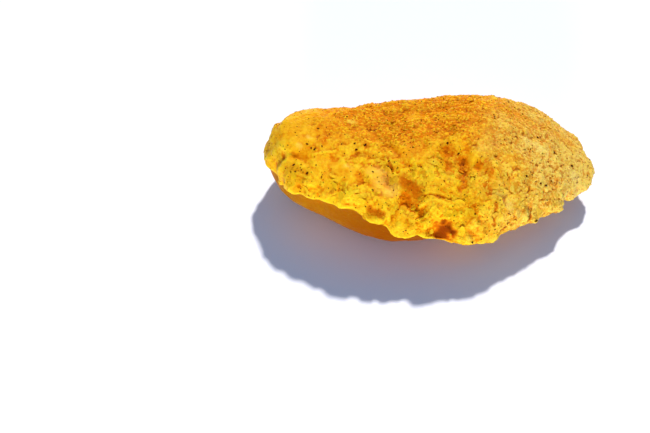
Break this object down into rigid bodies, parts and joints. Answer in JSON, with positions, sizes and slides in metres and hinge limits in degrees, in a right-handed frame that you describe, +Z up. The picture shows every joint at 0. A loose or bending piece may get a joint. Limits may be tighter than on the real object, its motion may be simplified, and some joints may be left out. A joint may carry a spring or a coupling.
{
  "type": "chicken tender",
  "caption": "Breaded and fried chicken tender, broad and flattened, with a blunt end, a tapered tip and a cragged golden coating.",
  "frame": {"origin": "middle of the tender's box in plan, on the surface that it rests on", "axes": "+X along the length towards the tapered tip, +Y towards the back edge, +Z up; the cragged rim that overhangs the smoother side is at -Y"},
  "size_m": [0.1, 0.058, 0.027],
  "materials": {
    "fried_coating": "fried batter and crumbs, golden yellow to orange brown, slightly oily"
  },
  "bodies": {
    "root": {"chicken_tender": "fried_coating"}
  },
  "joints": []
}
